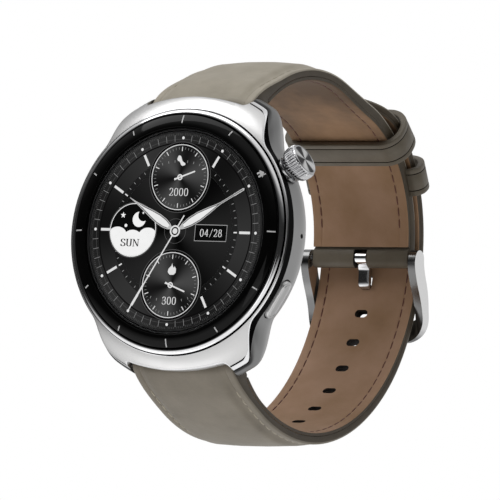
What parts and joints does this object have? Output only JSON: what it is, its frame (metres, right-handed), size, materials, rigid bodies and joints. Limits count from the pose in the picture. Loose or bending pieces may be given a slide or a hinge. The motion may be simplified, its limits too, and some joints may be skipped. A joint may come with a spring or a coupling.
{
  "type": "smartwatch",
  "caption": "Round steel smartwatch with a knurled crown, a long side key and a padded leather strap, buckled closed with a pin buckle and two keepers.",
  "frame": {"origin": "centre of the flat sensor face on the case back, where the watch rests on the wrist", "axes": "+Z out of the display, +Y to 12 o'clock, +X to 3 o'clock, the crown's side; the strap loop hangs below the case"},
  "size_m": [0.0489, 0.0717, 0.075],
  "materials": {
    "satin_steel": "satin, fine blasted",
    "polished_steel": "polished",
    "black_ceramic": "glossy black",
    "glass": "clear, polished",
    "display": "dark display",
    "dial_print": "lit dial marks",
    "black_plastic": "moulded",
    "rubber": "matt",
    "circuit_board": "solder mask",
    "copper_film": "flexible print",
    "foil": "satin foil",
    "gold": "polished",
    "leather": "smooth taupe leather",
    "lining": "brown suede-like lining",
    "thread": "waxed thread"
  },
  "bodies": {
    "case": {"case_body": "satin_steel", "bezel_ring": "polished_steel", "bezel_insert": "black_ceramic", "cover_glass": "glass", "glass_seat": "black_plastic", "front_gasket": "rubber", "display_panel": "display", "display_flex": "copper_film", "inner_chassis": "black_plastic", "mainboard": "circuit_board", "battery": "foil", "vibration_motor": "foil", "speaker": "black_plastic", "back_gasket": "rubber", "back_cover": "satin_steel", "sensor_window": "black_ceramic", "sensor_board": "circuit_board", "charge_contact_1": "gold", "charge_contact_2": "gold", "back_screw_1": "polished_steel", "back_screw_2": "polished_steel", "back_screw_3": "polished_steel", "back_screw_4": "polished_steel", "crown_tube": "polished_steel", "crown_seal": "rubber", "crown_encoder": "black_plastic", "key_seal": "rubber", "key_switch": "black_plastic", "spring_bar_top": "polished_steel", "spring_bar_bottom": "polished_steel", "bar_spring_top": "polished_steel", "bar_spring_bottom": "polished_steel"},
    "crown_carrier": {"crown_bush": "black_plastic"},
    "crown": {"crown_cap": "polished_steel", "crown_stem": "polished_steel"},
    "side_key": {"side_key": "polished_steel", "key_plunger": "polished_steel"},
    "release_top": {"release_pin_top": "polished_steel"},
    "release_bottom": {"release_pin_bottom": "polished_steel"},
    "strap_top": {"strap_top_outer": "leather", "strap_top_lining": "lining", "keeper_fixed": "leather", "buckle_bar": "polished_steel"},
    "strap_bottom": {"strap_bottom_outer": "leather", "strap_bottom_lining": "lining"},
    "keeper": {"keeper_free": "leather"},
    "buckle": {"buckle_frame": "polished_steel"},
    "tongue": {"buckle_tongue": "polished_steel"}
  },
  "joints": [
    {"name": "crown_press", "type": "slide", "parent": "case", "child": "crown_carrier", "axis": [-0.8616, -0.5075, 0], "range_m": [0, 0.0005], "stiffness_N_per_m": 3000, "springref_m": -0.0002},
    {"name": "crown_turn", "type": "hinge", "parent": "crown_carrier", "child": "crown", "pos_m": [0.02137, 0.01259, 0.0066], "axis": [0.8616, 0.5075, 0], "continuous": true},
    {"name": "key_press", "type": "slide", "parent": "case", "child": "side_key", "axis": [-0.8616, 0.5075, 0], "range_m": [0, 0.0004], "stiffness_N_per_m": 3000, "springref_m": -0.0002},
    {"name": "release_top_draw", "type": "slide", "parent": "case", "child": "release_top", "axis": [-1, 0, 0], "range_m": [0, 0.0016], "stiffness_N_per_m": 500, "springref_m": -0.0005},
    {"name": "release_bottom_draw", "type": "slide", "parent": "case", "child": "release_bottom", "axis": [-1, 0, 0], "range_m": [0, 0.0016], "stiffness_N_per_m": 500, "springref_m": -0.0005},
    {"name": "strap_top_swing", "type": "hinge", "parent": "case", "child": "strap_top", "pos_m": [0, 0.024, 0.0036], "axis": [1, 0, 0], "range_deg": [-0.5, 0]},
    {"name": "strap_bottom_swing", "type": "hinge", "parent": "case", "child": "strap_bottom", "pos_m": [0, -0.024, 0.0036], "axis": [1, 0, 0], "range_deg": [-0.5, 0]},
    {"name": "keeper_slide", "type": "hinge", "parent": "strap_top", "child": "keeper", "pos_m": [0, 0.0051, -0.03184], "axis": [1, 0, 0], "range_deg": [-6, 14]},
    {"name": "buckle_swing", "type": "hinge", "parent": "strap_top", "child": "buckle", "pos_m": [0, 0.00405, -0.05686], "axis": [1, 0, 0], "range_deg": [0, 6]},
    {"name": "tongue_swing", "type": "hinge", "parent": "strap_top", "child": "tongue", "pos_m": [0, 0.00405, -0.05686], "axis": [1, 0, 0], "range_deg": [0, 6]}
  ],
  "couplings": [
    {"joint": "strap_bottom_swing", "follows": "strap_top_swing", "ratio": 1},
    {"joint": "tongue_swing", "follows": "buckle_swing", "ratio": 1}
  ]
}
